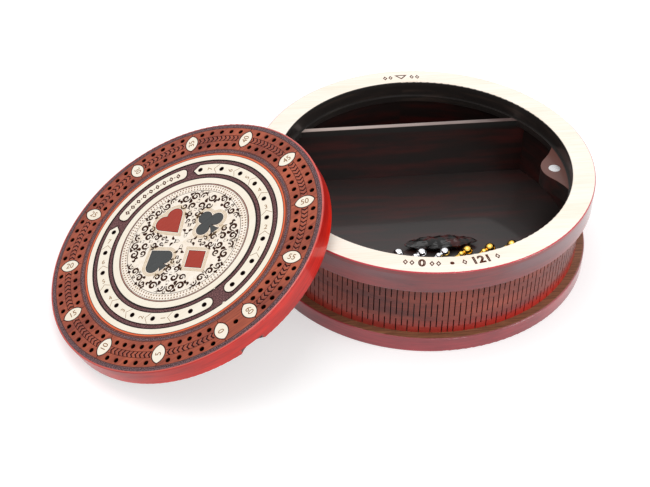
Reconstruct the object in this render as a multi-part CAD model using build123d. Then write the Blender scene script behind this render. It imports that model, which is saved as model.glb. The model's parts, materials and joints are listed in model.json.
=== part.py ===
from build123d import *
import math
import os

# Round wooden cribbage box. Millimetres, +Z up. The origin is the centre of the base's
# underside. The start mark of the rim is at -Y and the push mark at +Y.

# Box: overall
rim_radius = 108.0
box_height = 63.5
edge_round = 0.8

# Box: base disc and kerf-bent wall
base_inset = 0.5
base_thickness = 10.7
wall_setback = 6.1
wall_thickness = 5.1

# Box: lipped rim with its pale face
rim_width = 14.5
hoop_height = 15.5
rim_face_thickness = 3.0
lid_recess = 11.1
ledge_width = 1.2

# Saw kerfs round the wall: two staggered columns, A and B
kerf_columns = 184
kerf_width = 0.65
kerf_depth = 3.0
kerf_a_low_foot = 4.3
kerf_a_low_head = 22.8
kerf_b_low_head = 9.7
kerf_bridge = 3.1
seam_width = 0.6

# Divider board across the well
divider_thickness = 3.3
divider_from_axis = 56.0

# Lugs that carry the lid, one at each end of the tilt axis
lug_reach = 19.6
lug_thickness = 12.0
lug_half_waist = 12.5
lug_waist_from_wall = 13.6
lug_half_root = 30.5
lug_flare_angle = 14.0

# Round magnets, in the lugs and under the lid
magnet_from_wall = 11.0
magnet_radius = 3.75
magnet_thickness = 2.4
magnet_clearance = 0.05
magnet_sink = 0.1

# Lid board
lid_clearance = 1.5
lid_thickness = 12.7
lid_under_round = 0.6
notch_radius = 12.0
notch_height = 3.5
notch_depth = 3.8

# Engraved bands of the lid
engrave_depth = 0.25
edge_band_from_edge = 1.0
edge_band_width = 1.8
track_band_from_row = 4.1
track_band_width = 2.0
games_field_margin = 0.2

# Peg track: groups of holes between numbered plates, clockwise from the start
track_groups = 12
holes_per_group = 5
start_gap_angle = 13.9
outer_row_from_edge = 6.7
row_spacing = 10.6
hole_radius = 1.6
hole_depth = 8.0

# Inlays, all let into the top of the lid
inlay_depth = 1.5
inlay_gap = 0.05
plate_length = 12.5
plate_width = 8.4
outer_ring_from_band = 2.4
outer_ring_width = 3.5
games_strip_width = 14.5
inner_ring_width = 4.3
filigree_from_ring = 0.7

# Label plate at twelve o'clock, and the games tracks either side of it
label_half_angle = 27.0
label_corner = 3.0
label_gap_angle = 5.3
games_track_width = 7.6
games_track_point = 3.6
games_track_foot_angle = 8.7
games_holes = 7
games_hole_inset_angle = 4.7
games_hole_pitch_angle = 16.25
waiting_holes = 3
waiting_hole_inset_angle = 1.6
waiting_hole_pitch_angle = 9.3

# Card suit inlays
suit_from_centre = 19.0
heart_half_width = 9.5
heart_lobe = 5.2
heart_lobe_height = 4.4
heart_foot = 9.7
diamond_half_width = 7.7
diamond_half_height = 9.0
club_leaf = 4.4
club_top_height = 5.4
club_side_height = 1.4
club_side_reach = 5.1
spade_half_width = 9.3
spade_lobe = 4.7
spade_lobe_drop = 2.4
spade_tip = 9.2
suit_stem_foot = 9.0
suit_stem_half_foot = 3.0
suit_stem_half_neck = 0.9
suit_stem_flare = 2 / 3
suit_stem_flare_share = 1 / 4

# How the open lid leans: low edge on the table, underside on the rim's outer edge
lid_lean_angle = 25.8
lid_heading_angle = 18.9
lid_own_turn_angle = 1.5
lid_side_offset = -3.1
lean_gap = 0.3
table_gap = 0.05

# Pegs lying in the well
peg_head_radius = 3.5
peg_bead_radius = 2.4
peg_neck_radius = 1.4
peg_tip_radius = 1.15
peg_bead_from_head = 5.2
peg_length = 31.0
peg_pitch = 14.9
peg_row_first = -19.2
peg_row_front = -32.4
peg_row_middle = 13.0
peg_row_bend = 287.0
peg_row_angle = 32.0
peg_seat_gap = 0.1
pegs_per_set = 3

# Peg pouch, a soft bag lying behind the pegs
pouch_length = 50.0
pouch_depth = 12.5
pouch_height = 7.5
pouch_round = 3.2
pouch_middle = 10.0
pouch_from_pegs = 1.2
pouch_seat_gap = 0.2

# Worked out from the sizes above
rim_inner_radius = rim_radius - rim_width
lip_inner_radius = rim_inner_radius - ledge_width
wall_outer_radius = rim_radius - wall_setback
wall_inner_radius = wall_outer_radius - wall_thickness
ledge_height = box_height - lid_recess
hoop_foot = box_height - hoop_height
hoop_top = box_height - rim_face_thickness
lid_radius = rim_inner_radius - lid_clearance
magnet_from_axis = wall_inner_radius - magnet_from_wall

# The bands of the lid, each set from the one outside it
edge_band_outer = lid_radius - edge_band_from_edge
outer_row_radius = lid_radius - outer_row_from_edge
inner_row_radius = outer_row_radius - row_spacing
track_middle = (outer_row_radius + inner_row_radius) / 2
track_band_outer = inner_row_radius - track_band_from_row
outer_ring_outer = track_band_outer - track_band_width - outer_ring_from_band
outer_ring_inner = outer_ring_outer - outer_ring_width
inner_ring_outer = outer_ring_inner - games_strip_width
inner_ring_inner = inner_ring_outer - inner_ring_width
filigree_radius = inner_ring_inner - filigree_from_ring
games_track_middle = (outer_ring_inner + inner_ring_outer) / 2
games_field_outer = outer_ring_inner - games_field_margin
games_field_width = games_strip_width - 2 * games_field_margin

# Clock angles on the lid, in degrees from twelve o'clock
six_oclock = 180.0
games_track_first = label_half_angle + label_gap_angle
games_track_last = six_oclock - games_track_foot_angle
games_hole_first = games_track_first + games_hole_inset_angle
waiting_hole_last = games_track_last - waiting_hole_inset_angle
pouch_front = peg_row_front + peg_head_radius + pouch_from_pegs


def tube(outer, inner, foot, head):
    """A plain ring between two heights."""
    section = Circle(outer) - Circle(inner)
    return Pos(0, 0, foot) * extrude(section, head - foot)


def clock(radius, angle):
    """A point on the lid, with the angle clockwise from twelve o'clock."""
    turn = math.radians(angle)
    return (radius * math.sin(turn), radius * math.cos(turn))


def round_edges(shape, radius, height):
    """Round the circular edges that lie at one height."""
    edges = [edge for edge in shape.edges() if abs(edge.center().Z - height) < 1e-4]
    return fillet(edges, radius)


# ---- the box ----


def base_disc():
    base_radius = rim_radius - base_inset
    disc = extrude(Circle(base_radius), base_thickness)
    disc = round_edges(disc, edge_round, base_thickness)
    return round_edges(disc, edge_round, 0)


def kerf_cut(column, foot, head, width):
    """One saw kerf in the outside of the wall."""
    middle = wall_outer_radius - kerf_depth / 2 + edge_round / 2
    cutter = Box(width, kerf_depth + edge_round, head - foot)
    standing = Pos(0, -middle, (foot + head) / 2) * cutter
    return Rot(0, 0, 360 / kerf_columns * column) * standing


def kerf_wall():
    """The bent board: its seam takes the place of one column of kerfs."""
    wall = tube(wall_outer_radius, wall_inner_radius, base_thickness, ledge_height)
    above = ledge_height + edge_round
    cuts = [kerf_cut(0, base_thickness - edge_round, above, seam_width)]
    for column in range(1, kerf_columns):
        if column % 2 == 0:
            low_foot = base_thickness + kerf_a_low_foot
            low_head = base_thickness + kerf_a_low_head
        else:
            low_foot = base_thickness - edge_round
            low_head = base_thickness + kerf_b_low_head
        cuts.append(kerf_cut(column, low_foot, low_head, kerf_width))
        cuts.append(kerf_cut(column, low_head + kerf_bridge, above, kerf_width))
    return wall.cut(*cuts)


def rim_hoop():
    """The hoop, grooved underneath for the wall, with a narrow ledge inside."""
    upper = tube(rim_radius, rim_inner_radius, ledge_height, hoop_top)
    lower = tube(rim_radius, lip_inner_radius, hoop_foot, ledge_height)
    groove = tube(wall_outer_radius, wall_inner_radius, hoop_foot, ledge_height)
    hoop = upper + (lower - groove)
    foot = [e for e in hoop.edges() if abs(e.center().Z - hoop_foot) < 1e-4]
    foot = sorted(foot, key=lambda edge: edge.radius)
    return fillet([foot[0], foot[-1]], edge_round)


def lip_space():
    """The ring that the hoop's inner lip takes up inside the wall."""
    return tube(wall_outer_radius, lip_inner_radius, hoop_foot, ledge_height)


def rim_face():
    face = tube(rim_radius, rim_inner_radius, hoop_top, box_height)
    return round_edges(face, edge_round, box_height)


def divider():
    length = 2 * wall_inner_radius
    height = ledge_height - base_thickness
    board = Box(length, divider_thickness, height)
    middle = divider_from_axis + divider_thickness / 2
    standing = Pos(0, middle, base_thickness + height / 2) * board
    return standing & extrude(Circle(wall_inner_radius), box_height) - lip_space()


def lug(side):
    """A bell-shaped lug on the wall, with a pocket for its magnet."""
    tip = wall_inner_radius - lug_reach
    waist = wall_inner_radius - lug_waist_from_wall
    root = math.sqrt(wall_inner_radius**2 - lug_half_root**2)
    upper = Spline(
        (tip, 0),
        (waist, lug_half_waist),
        (root, lug_half_root),
        tangents=[clock(1, 0), clock(1, lug_flare_angle)],
    )
    back = Line((root, lug_half_root), (wall_outer_radius, lug_half_root))
    end = Line((wall_outer_radius, lug_half_root), (wall_outer_radius, 0))
    shut = Line((wall_outer_radius, 0), (tip, 0))
    half = make_face([upper, back, end, shut])
    outline = half + mirror(half, Plane.XZ)
    bell = extrude(outline & Circle(wall_inner_radius), lug_thickness)
    bell = Pos(0, 0, ledge_height - lug_thickness) * bell
    pocket_depth = magnet_thickness + magnet_sink
    pocket = Cylinder(magnet_radius + magnet_clearance, pocket_depth)
    bell = bell - Pos(magnet_from_axis, 0, ledge_height - pocket_depth / 2) * pocket
    bell = bell - lip_space()
    return bell if side > 0 else Rot(0, 0, 180) * bell


def lug_magnet(side):
    disc = Cylinder(magnet_radius, magnet_thickness)
    height = ledge_height - magnet_sink - magnet_thickness / 2
    return Pos(side * magnet_from_axis, 0, height) * disc


# ---- the lid, drawn flat with its underside at z 0 and the start at -Y ----


def track_angle(step):
    """Angle of one step of the peg track, clockwise from the start plate."""
    steps = track_groups * (holes_per_group + 1)
    step_angle = (2 * six_oclock - start_gap_angle) / steps
    return six_oclock + start_gap_angle / 2 + step * step_angle


def track_steps(plates):
    """The steps that hold a number plate, or those that hold peg holes."""
    every = holes_per_group + 1
    return [n for n in range(track_groups * every + 1) if (n % every == 0) == plates]


def games_angles():
    """Holes for the games won, from the pointed end, and for waiting pegs, from the round end."""
    played = [games_hole_first + n * games_hole_pitch_angle for n in range(games_holes)]
    waiting = [waiting_hole_last - n * waiting_hole_pitch_angle for n in range(waiting_holes)]
    return played + waiting


def hole_places():
    """Middle of every peg hole in the lid."""
    places = []
    for step in track_steps(plates=False):
        places.append(clock(outer_row_radius, track_angle(step)))
        places.append(clock(inner_row_radius, track_angle(step)))
    places.append(clock(track_middle, six_oclock))
    for angle in games_angles():
        places.append(clock(games_track_middle, angle))
        places.append(clock(games_track_middle, -angle))
    return places


def plate_outline(gap):
    """A pointed lens, its long axis along Y."""
    long = plate_length / 2 + gap
    wide = plate_width / 2 + gap
    right = ThreePointArc((0, -long), (wide, 0), (0, long))
    left = ThreePointArc((0, long), (-wide, 0), (0, -long))
    return make_face([right, left])


def plate_outlines(gap):
    outlines = []
    for step in track_steps(plates=True):
        angle = track_angle(step)
        outlines.append(Rot(0, 0, -angle) * Pos(0, track_middle, 0) * plate_outline(gap))
    return outlines


def games_track_outline(gap):
    """An arched strip, pointed at its first end and round at its last."""
    outer = games_track_middle + games_track_width / 2 + gap
    inner = games_track_middle - games_track_width / 2 - gap
    spread = math.degrees(gap / games_track_middle)
    first = games_track_first + math.degrees(games_track_point / games_track_middle)
    half = (first + games_track_last) / 2
    point = clock(games_track_middle, games_track_first - spread)
    far = games_track_last + math.degrees((games_track_width / 2 + gap) / games_track_middle)
    edges = [
        Line(point, clock(outer, first)),
        ThreePointArc(clock(outer, first), clock(outer, half), clock(outer, games_track_last)),
        ThreePointArc(
            clock(outer, games_track_last),
            clock(games_track_middle, far),
            clock(inner, games_track_last),
        ),
        ThreePointArc(clock(inner, games_track_last), clock(inner, half), clock(inner, first)),
        Line(clock(inner, first), point),
    ]
    return make_face(edges)


def label_outline(gap):
    """The arched plate at twelve o'clock, with round corners."""
    outer = games_track_middle + games_track_width / 2 + gap
    inner = games_track_middle - games_track_width / 2 - gap
    end = label_half_angle + math.degrees(gap / games_track_middle)
    edges = [
        ThreePointArc(clock(outer, -end), clock(outer, 0), clock(outer, end)),
        Line(clock(outer, end), clock(inner, end)),
        ThreePointArc(clock(inner, end), clock(inner, 0), clock(inner, -end)),
        Line(clock(inner, -end), clock(outer, -end)),
    ]
    strip = make_face(edges)
    return fillet(strip.vertices(), label_corner)


def pointed_lobes(lobe, reach, height, tip, gap):
    """Two round lobes drawn together to a point: a heart, or a spade turned over."""
    middle = reach - lobe
    lobe = lobe + gap
    tip = tip - gap * math.sqrt(2)
    fall = height - tip
    distance = math.hypot(middle, fall)
    lean = math.atan2(fall, middle)
    turn = lean - math.acos(lobe / distance) + math.pi
    touch = (middle + lobe * math.cos(turn), height + lobe * math.sin(turn))
    if touch[0] < middle:
        turn = lean + math.acos(lobe / distance) + math.pi
        touch = (middle + lobe * math.cos(turn), height + lobe * math.sin(turn))
    body = make_face(Polyline((0, tip), touch, (middle, height), (0, height), close=True))
    half = body + Pos(middle, height) * Circle(lobe)
    return half + mirror(half, Plane.YZ)


def suit_stem(gap):
    """The flared foot below a club or a spade."""
    neck = suit_stem_half_neck + gap
    foot = suit_stem_half_foot + gap
    low = -suit_stem_foot - gap
    flare = neck + (foot - neck) * suit_stem_flare_share
    right = ThreePointArc((neck, 0), (flare, low * suit_stem_flare), (foot, low))
    base = Line((foot, low), (0, low))
    axis = Line((0, low), (0, 0))
    top = Line((0, 0), (neck, 0))
    half = make_face([right, base, axis, top])
    return half + mirror(half, Plane.YZ)


def heart_outline(gap):
    return pointed_lobes(heart_lobe, heart_half_width, heart_lobe_height, -heart_foot, gap)


def spade_outline(gap):
    turned = pointed_lobes(spade_lobe, spade_half_width, spade_lobe_drop, -spade_tip, gap)
    return Rot(0, 0, 180) * turned + suit_stem(gap)


def club_outline(gap):
    leaf = Circle(club_leaf + gap)
    leaves = Pos(0, club_top_height) * leaf
    for side in (-1, 1):
        leaves = leaves + Pos(side * club_side_reach, -club_side_height) * leaf
    return leaves + Circle(club_leaf / 2 + gap) + suit_stem(gap)


def diamond_outline(gap):
    wide = diamond_half_width + gap * math.sqrt(2)
    tall = diamond_half_height + gap * math.sqrt(2)
    return make_face(Polyline((wide, 0), (0, tall), (-wide, 0), (0, -tall), close=True))


def suit_places():
    """Each suit inlay with its outline and its angle from twelve o'clock."""
    return {
        "heart_inlay": (heart_outline, 0),
        "club_inlay": (club_outline, 90),
        "diamond_inlay": (diamond_outline, 180),
        "spade_inlay": (spade_outline, 270),
    }


def suit_figure(name, gap):
    """One suit figure, upright at its place on the lid."""
    outline, angle = suit_places()[name]
    x, y = clock(suit_from_centre, angle)
    return Pos(x, y) * outline(gap)


def let_in(outline):
    """A flush inlay of the lid, made from its outline."""
    return Pos(0, 0, lid_thickness - inlay_depth) * extrude(outline, inlay_depth)


def band(outer, width, depth):
    """A shallow ring cut into the top of the lid."""
    return tube(outer, outer - width, lid_thickness - depth, lid_thickness + edge_round)


def bored(inlay):
    """An inlay with every peg hole that meets it."""
    drill = Cylinder(hole_radius, 2 * hole_depth)
    return inlay.cut(*[Pos(x, y, lid_thickness) * drill for x, y in hole_places()])


def finger_notch():
    """The scoop for a finger nail in the low edge of the lid at the start."""
    cutter = Cylinder(notch_radius, 2 * notch_height)
    return Pos(0, notch_depth - lid_radius - notch_radius, 0) * cutter


def lid_board():
    board = extrude(Circle(lid_radius), lid_thickness)
    board = round_edges(board, edge_round, lid_thickness)
    board = round_edges(board, lid_under_round, 0)
    board = board - finger_notch()
    pocket_head = lid_thickness + edge_round
    pocket_foot = lid_thickness - inlay_depth
    outlines = plate_outlines(inlay_gap)
    outlines.append(games_track_outline(inlay_gap))
    outlines.append(mirror(games_track_outline(inlay_gap), Plane.YZ))
    outlines.append(label_outline(inlay_gap))
    outlines.append(Circle(filigree_radius + inlay_gap))
    pockets = [Pos(0, 0, pocket_foot) * extrude(o, pocket_head - pocket_foot) for o in outlines]
    rings = ((outer_ring_outer, outer_ring_width), (inner_ring_outer, inner_ring_width))
    for outer, width in rings:
        pockets.append(band(outer + inlay_gap, width + 2 * inlay_gap, inlay_depth))
    pockets.append(band(edge_band_outer, edge_band_width, engrave_depth))
    pockets.append(band(track_band_outer, track_band_width, engrave_depth))
    pockets.append(band(games_field_outer, games_field_width, engrave_depth))
    board = board.cut(*pockets)
    magnet_pocket = Cylinder(magnet_radius + magnet_clearance, 2 * (magnet_thickness + magnet_sink))
    for side in (-1, 1):
        board = board - Pos(side * magnet_from_axis, 0, 0) * magnet_pocket
    return bored(board)


def number_plates():
    return Compound([bored(let_in(outline)).solid() for outline in plate_outlines(0)])


def games_track(side):
    strip = bored(let_in(games_track_outline(0)))
    return strip if side > 0 else mirror(strip, Plane.YZ)


def flush_ring(outer, width):
    return let_in(Circle(outer) - Circle(outer - width))


def filigree_disc():
    disc = Circle(filigree_radius)
    for name in suit_places():
        disc = disc - suit_figure(name, inlay_gap)
    return let_in(disc)


def lid_magnets():
    disc = Cylinder(magnet_radius, magnet_thickness)
    height = magnet_sink + magnet_thickness / 2
    placed = [Pos(side * magnet_from_axis, 0, height) * disc for side in (-1, 1)]
    return Compound([magnet.solid() for magnet in placed])


def leaning():
    """Where the open lid lies: low edge on the table, underside on the rim."""
    slope = math.radians(lid_lean_angle)
    heading = math.radians(lid_heading_angle)
    sine = math.sin(slope)
    cosine = math.cos(slope)
    flat_radius = lid_radius - lid_under_round
    height = table_gap + lid_under_round * (1 - cosine) + flat_radius * sine
    rim_out = rim_radius - edge_round
    rim_up = box_height - edge_round
    along = rim_out + (edge_round + lean_gap - (height - rim_up) * cosine) / sine
    x = -along * math.cos(heading) + lid_side_offset * math.sin(heading)
    y = -along * math.sin(heading) - lid_side_offset * math.cos(heading)
    laid = Pos(x, y, height) * Rot(0, 0, lid_heading_angle) * Rot(0, -lid_lean_angle, 0)
    return laid * Rot(0, 0, lid_own_turn_angle)


# ---- loose things in the well ----


def peg(number):
    """One turned peg on the floor of the well, its head slightly raised."""
    head = Sphere(peg_head_radius)
    bead = Pos(peg_bead_from_head, 0, 0) * Sphere(peg_bead_radius)
    profile = make_face(
        Polyline(
            (0, 0),
            (0, peg_neck_radius),
            (peg_length - peg_tip_radius, peg_tip_radius),
            (peg_length, 0),
            close=True,
        )
    )
    stem = revolve(profile, Axis.X)
    raised = peg_head_radius - peg_tip_radius
    drop = math.degrees(math.atan2(raised, peg_length - peg_tip_radius))
    x = peg_row_first + number * peg_pitch
    y = peg_row_front + (x - peg_row_middle) ** 2 / (2 * peg_row_bend)
    z = base_thickness + peg_head_radius + peg_seat_gap
    turn = 180 + peg_row_angle
    return Pos(x, y, z) * Rot(0, 0, turn) * Rot(0, drop, 0) * (head + bead + stem)


def peg_pouch():
    """The soft pouch, as a plain rounded block of its size."""
    block = Box(pouch_length, pouch_depth, pouch_height)
    block = fillet(block.edges(), pouch_round)
    middle_y = pouch_front + pouch_depth / 2
    z = base_thickness + pouch_seat_gap + pouch_height / 2
    return Pos(pouch_middle, middle_y, z) * block


def all_parts():
    parts = {
        "base_disc": base_disc(),
        "kerf_wall": kerf_wall(),
        "rim_hoop": rim_hoop(),
        "rim_face": rim_face(),
        "divider": divider(),
        "left_lug": lug(-1),
        "right_lug": lug(1),
        "left_lug_magnet": lug_magnet(-1),
        "right_lug_magnet": lug_magnet(1),
    }
    flat_lid = {
        "lid_board": lid_board(),
        "number_plates": number_plates(),
        "outer_maple_ring": flush_ring(outer_ring_outer, outer_ring_width),
        "games_label_plate": let_in(label_outline(0)),
        "right_games_track": games_track(1),
        "left_games_track": games_track(-1),
        "inner_maple_ring": flush_ring(inner_ring_outer, inner_ring_width),
        "filigree_disc": filigree_disc(),
        "lid_magnets": lid_magnets(),
    }
    for name in suit_places():
        flat_lid[name] = let_in(suit_figure(name, 0))
    seat = leaning()
    for name, shape in flat_lid.items():
        parts[name] = seat * shape
    for number in range(2 * pegs_per_set):
        metal = "silver" if number < pegs_per_set else "gold"
        parts[f"{metal}_peg_{number % pegs_per_set + 1}"] = peg(number)
    parts["peg_pouch"] = peg_pouch()
    return parts


os.makedirs("parts", exist_ok=True)
for name, shape in all_parts().items():
    shape.label = name
    export_step(shape, f"parts/{name}.step")
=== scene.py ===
import json
import math

import bpy
from mathutils import Matrix, Vector, noise


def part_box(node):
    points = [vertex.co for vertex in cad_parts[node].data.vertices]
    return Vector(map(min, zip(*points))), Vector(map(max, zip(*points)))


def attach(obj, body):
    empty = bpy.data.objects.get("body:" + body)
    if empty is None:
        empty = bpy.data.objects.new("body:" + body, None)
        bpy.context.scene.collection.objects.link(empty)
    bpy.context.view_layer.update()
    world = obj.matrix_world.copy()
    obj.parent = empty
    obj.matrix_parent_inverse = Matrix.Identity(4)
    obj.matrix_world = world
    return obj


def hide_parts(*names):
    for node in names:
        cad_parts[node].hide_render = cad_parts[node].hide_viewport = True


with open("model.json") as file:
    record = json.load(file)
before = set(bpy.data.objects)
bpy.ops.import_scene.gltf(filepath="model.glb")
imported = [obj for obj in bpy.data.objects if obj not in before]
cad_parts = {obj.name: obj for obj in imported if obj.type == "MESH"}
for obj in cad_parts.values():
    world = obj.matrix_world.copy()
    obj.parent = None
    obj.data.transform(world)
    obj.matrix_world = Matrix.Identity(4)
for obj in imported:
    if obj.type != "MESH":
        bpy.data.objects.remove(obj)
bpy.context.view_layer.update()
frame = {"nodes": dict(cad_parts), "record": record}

# ---- Studio ----
# A seamless white table in a white room. The camera stands in front of the box, to its left
# and above it. Large soft lamps give the lacquer its long pale reflections.

camera_target = Vector((-0.06299, 0.00124, 0))
camera_distance = 0.8797
camera_azimuth = math.radians(-6.3258)
camera_elevation = math.radians(39.6203)
camera_roll = math.radians(0.4822)
camera_lens = 73.46
sensor_width = 36
table_size = 6.0
room_light = 0.62
room_seen = 1.0
table_grey = 0.62
table_lift = 0.5


def colour(red, green, blue):
    """A display colour, each part 0 to 255, as the linear light that a shader takes."""
    parts = [part / 255 for part in (red, green, blue)]
    linear = [p / 12.92 if p <= 0.04045 else ((p + 0.055) / 1.055) ** 2.4 for p in parts]
    return (*linear, 1.0)


class Tone:
    """A number or colour that varies over a surface, with sums on it written as sums."""

    def __init__(self, finish, socket):
        self.finish = finish
        self.socket = socket

    def maths(self, operation, *others):
        terms = dict(enumerate([self, *others]))
        return self.finish.node("ShaderNodeMath", {"operation": operation}, terms)

    def turned_maths(self, operation, other):
        return self.finish.node("ShaderNodeMath", {"operation": operation}, {0: other, 1: self})

    def __add__(self, other):
        return self.maths("ADD", other)

    def __radd__(self, other):
        return self.maths("ADD", other)

    def __sub__(self, other):
        return self.maths("SUBTRACT", other)

    def __rsub__(self, other):
        return self.turned_maths("SUBTRACT", other)

    def __mul__(self, other):
        return self.maths("MULTIPLY", other)

    def __rmul__(self, other):
        return self.maths("MULTIPLY", other)

    def __truediv__(self, other):
        return self.maths("DIVIDE", other)

    def past(self, level, soft):
        """0 below a level and 1 above it, with a soft step."""
        ends = {"Value": self, "From Min": level - soft, "From Max": level + soft}
        return self.finish.node("ShaderNodeMapRange", {"interpolation_type": "SMOOTHSTEP"}, ends)

    def between(self, low, high, soft):
        """1 between two levels and 0 outside them."""
        return self.past(low, soft) * (1 - self.past(high, soft))


class Finish:
    """A surface finish: one shader, and the nodes that vary it over the surface."""

    def __init__(self, name, **steady):
        self.material = bpy.data.materials.new(name)
        self.material.use_nodes = True
        self.nodes = self.material.node_tree.nodes
        self.links = self.material.node_tree.links
        self.shader = self.nodes["Principled BSDF"]
        for socket, value in steady.items():
            self.shader.inputs[socket.replace("_", " ")].default_value = value

    def node(self, kind, settings, inputs, out=0):
        """Any node: its settings are set first, then the values or links of its sockets."""
        made = self.nodes.new(kind)
        for name, value in settings.items():
            if name == "stops":
                for number, (spot, shade) in enumerate(value):
                    ramp = made.color_ramp.elements
                    stop = ramp[number] if number < len(ramp) else ramp.new(spot)
                    stop.position = spot
                    stop.color = shade
            else:
                setattr(made, name, value)
        for name, value in inputs.items():
            if isinstance(value, Tone):
                self.links.new(value.socket, made.inputs[name])
            else:
                made.inputs[name].default_value = value
        return Tone(self, made.outputs[out])

    def place(self, spot=(0, 0, 0), turn=(0, 0, 0)):
        """The place of a point in millimetres, from a spot on the piece and along turned axes."""
        metres = self.node("ShaderNodeTexCoord", {}, {}, "Object")
        mapped = {"Vector": metres, "Location": spot, "Rotation": turn, "Scale": (0.001,) * 3}
        return self.node("ShaderNodeMapping", {"vector_type": "TEXTURE"}, mapped)

    def parts(self, place):
        """The three coordinates of a place."""
        split = self.nodes.new("ShaderNodeSeparateXYZ")
        self.links.new(place.socket, split.inputs[0])
        return [Tone(self, output) for output in split.outputs]

    def speckle(self, place, stretch, scale, detail=5.0, roughness=0.6):
        """Cloudy variation, drawn out along the axes whose stretch is small."""
        drawn = self.node("ShaderNodeVectorMath", {"operation": "MULTIPLY"}, {0: place, 1: stretch})
        cloud = {"Vector": drawn, "Scale": scale, "Detail": detail, "Roughness": roughness}
        return self.node("ShaderNodeTexNoise", {}, cloud, "Fac")

    def blend(self, low, high, share):
        """A colour between two, by a share that may vary."""
        return self.node("ShaderNodeMix", {"data_type": "RGBA"}, {0: share, 6: low, 7: high}, 2)

    def ramp(self, share, *stops):
        return self.node("ShaderNodeValToRGB", {"stops": stops}, {"Fac": share})

    def relief(self, height, depth):
        """Fine relief of the surface, its depth in millimetres."""
        bump = {"Height": height, "Distance": depth / 1000, "Strength": 1.0}
        self.give("Normal", self.node("ShaderNodeBump", {}, bump))

    def give(self, socket, tone):
        self.links.new(tone.socket, self.shader.inputs[socket])


def wear(piece, finish):
    """Gives a piece its finish, in place of whatever it had."""
    piece.data.materials.clear()
    piece.data.materials.append(finish.material)


def choose(*pieces):
    """Selects these pieces alone, the first one active."""
    bpy.ops.object.select_all(action="DESELECT")
    for piece in pieces:
        piece.select_set(True)
    bpy.context.view_layer.objects.active = pieces[0]


bpy.ops.object.select_all(action="DESELECT")
back = Vector((
    math.sin(camera_azimuth) * math.cos(camera_elevation),
    -math.cos(camera_azimuth) * math.cos(camera_elevation),
    math.sin(camera_elevation),
))
level_right = Vector((0, 0, 1)).cross(back).normalized()
level_up = back.cross(level_right)
right = level_right * math.cos(camera_roll) + level_up * math.sin(camera_roll)
up = level_up * math.cos(camera_roll) - level_right * math.sin(camera_roll)
bpy.ops.object.camera_add(
    location=camera_target + back * camera_distance,
    rotation=Matrix((right, up, back)).transposed().to_euler(),
)
camera = bpy.context.object
camera.data.lens = camera_lens
camera.data.sensor_width = sensor_width
camera.data.sensor_fit = "HORIZONTAL"
bpy.context.scene.camera = camera
bpy.context.scene.view_settings.view_transform = "Standard"


def white_for_eyes(nodes, links, plain, seen):
    """Mixes a shader that lights the room with one that the camera and reflections see."""
    rays = nodes.new("ShaderNodeLightPath")
    looks = nodes.new("ShaderNodeMath")
    looks.operation = "MAXIMUM"
    links.new(rays.outputs["Is Camera Ray"], looks.inputs[0])
    links.new(rays.outputs["Is Glossy Ray"], looks.inputs[1])
    all_looks = nodes.new("ShaderNodeMath")
    all_looks.operation = "MAXIMUM"
    links.new(looks.outputs[0], all_looks.inputs[0])
    links.new(rays.outputs["Is Transmission Ray"], all_looks.inputs[1])
    mixed = nodes.new("ShaderNodeMixShader")
    links.new(all_looks.outputs[0], mixed.inputs[0])
    links.new(plain, mixed.inputs[1])
    links.new(seen, mixed.inputs[2])
    return mixed.outputs[0]


room = bpy.data.worlds.new("white_room")
bpy.context.scene.world = room
room.use_nodes = True
room_nodes = room.node_tree.nodes
lit = room_nodes["Background"]
lit.inputs["Color"].default_value = (1, 1, 1, 1)
lit.inputs["Strength"].default_value = room_light
shown = room_nodes.new("ShaderNodeBackground")
shown.inputs["Color"].default_value = (1, 1, 1, 1)
shown.inputs["Strength"].default_value = room_seen
room_mix = white_for_eyes(room_nodes, room.node_tree.links, lit.outputs[0], shown.outputs[0])
room.node_tree.links.new(room_mix, room_nodes["World Output"].inputs["Surface"])

bpy.ops.mesh.primitive_plane_add(size=table_size, location=(0, 0, 0))
table = bpy.context.object
table.name = "white_table"
table_finish = Finish("white_table", Roughness=0.9, Specular_IOR_Level=0.0)
table_cloud = table_finish.speckle(table_finish.place(), (1, 1, 1), 0.02)
pale = (table_grey, table_grey, table_grey, 1)
paler = (table_grey * 1.01, table_grey * 1.01, table_grey * 1.01, 1)
table_finish.give("Base Color", table_finish.blend(pale, paler, table_cloud))
table_nodes = table_finish.nodes
table_glow = table_nodes.new("ShaderNodeEmission")
table_glow.inputs["Strength"].default_value = table_lift
table_both = table_nodes.new("ShaderNodeAddShader")
table_finish.links.new(table_finish.shader.outputs[0], table_both.inputs[0])
table_finish.links.new(table_glow.outputs[0], table_both.inputs[1])
table_mix = white_for_eyes(
    table_nodes, table_finish.links, table_finish.shader.outputs[0], table_both.outputs[0]
)
table_finish.links.new(table_mix, table_nodes["Material Output"].inputs["Surface"])
wear(table, table_finish)


def soft_lamp(name, spot, aim, size, power):
    """A square soft lamp that faces a point."""
    bpy.ops.object.light_add(type="AREA", location=spot)
    lamp = bpy.context.object
    lamp.name = name
    lamp.data.energy = power
    lamp.data.size = size
    lamp.rotation_euler = (Vector(spot) - Vector(aim)).to_track_quat("Z", "Y").to_euler()
    return lamp


soft_lamp("top_lamp", (-0.25, 0.15, 1.5), (0, 0, 0), 1.0, 9)
soft_lamp("front_lamp", (0.35, -1.5, 0.9), (0, 0, 0.05), 0.9, 7)
soft_lamp("right_lamp", (1.3, -0.5, 0.6), (-0.05, -0.05, 0.03), 0.6, 5)

# ---- Base disc ----
# The foot of the box: one round board, wider than the wall that stands on it. Its rounded edge
# is stained red and lacquered; the step outside the wall is left plain brown, oiled.

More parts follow.
